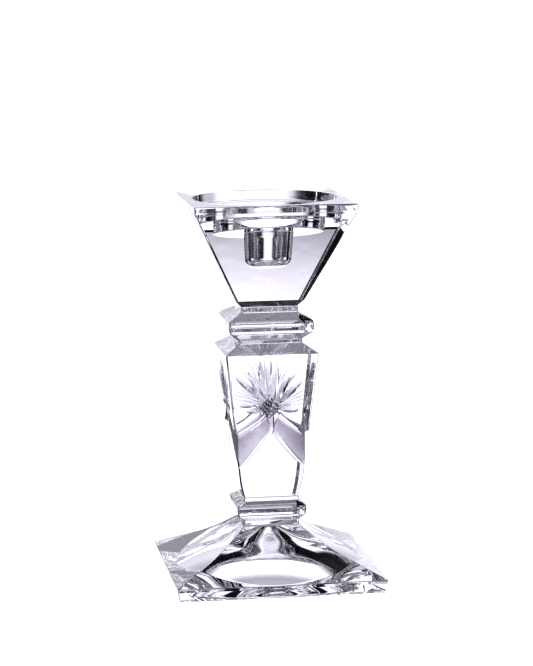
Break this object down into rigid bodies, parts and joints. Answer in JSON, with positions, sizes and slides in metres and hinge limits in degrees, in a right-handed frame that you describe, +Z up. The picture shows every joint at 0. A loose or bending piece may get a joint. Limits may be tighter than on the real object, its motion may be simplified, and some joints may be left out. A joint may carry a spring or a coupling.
{
  "type": "candlestick",
  "caption": "Square cut-glass candlestick: pyramid foot, tapering stem with cut bursts and ribbons, two knops, and a flared square cup with round wells and a taper socket.",
  "frame": {"origin": "middle of the flat rim that the foot stands on", "axes": "+Z up through the candle socket; the four faces of the stem look along -Y, +X, +Y and -X"},
  "size_m": [0.109, 0.109, 0.2],
  "materials": {
    "lead_crystal": "polished, clear and colourless"
  },
  "bodies": {
    "root": {"foot": "lead_crystal", "lower_knop": "lead_crystal", "stem": "lead_crystal", "upper_knop": "lead_crystal", "cup": "lead_crystal"}
  },
  "joints": []
}
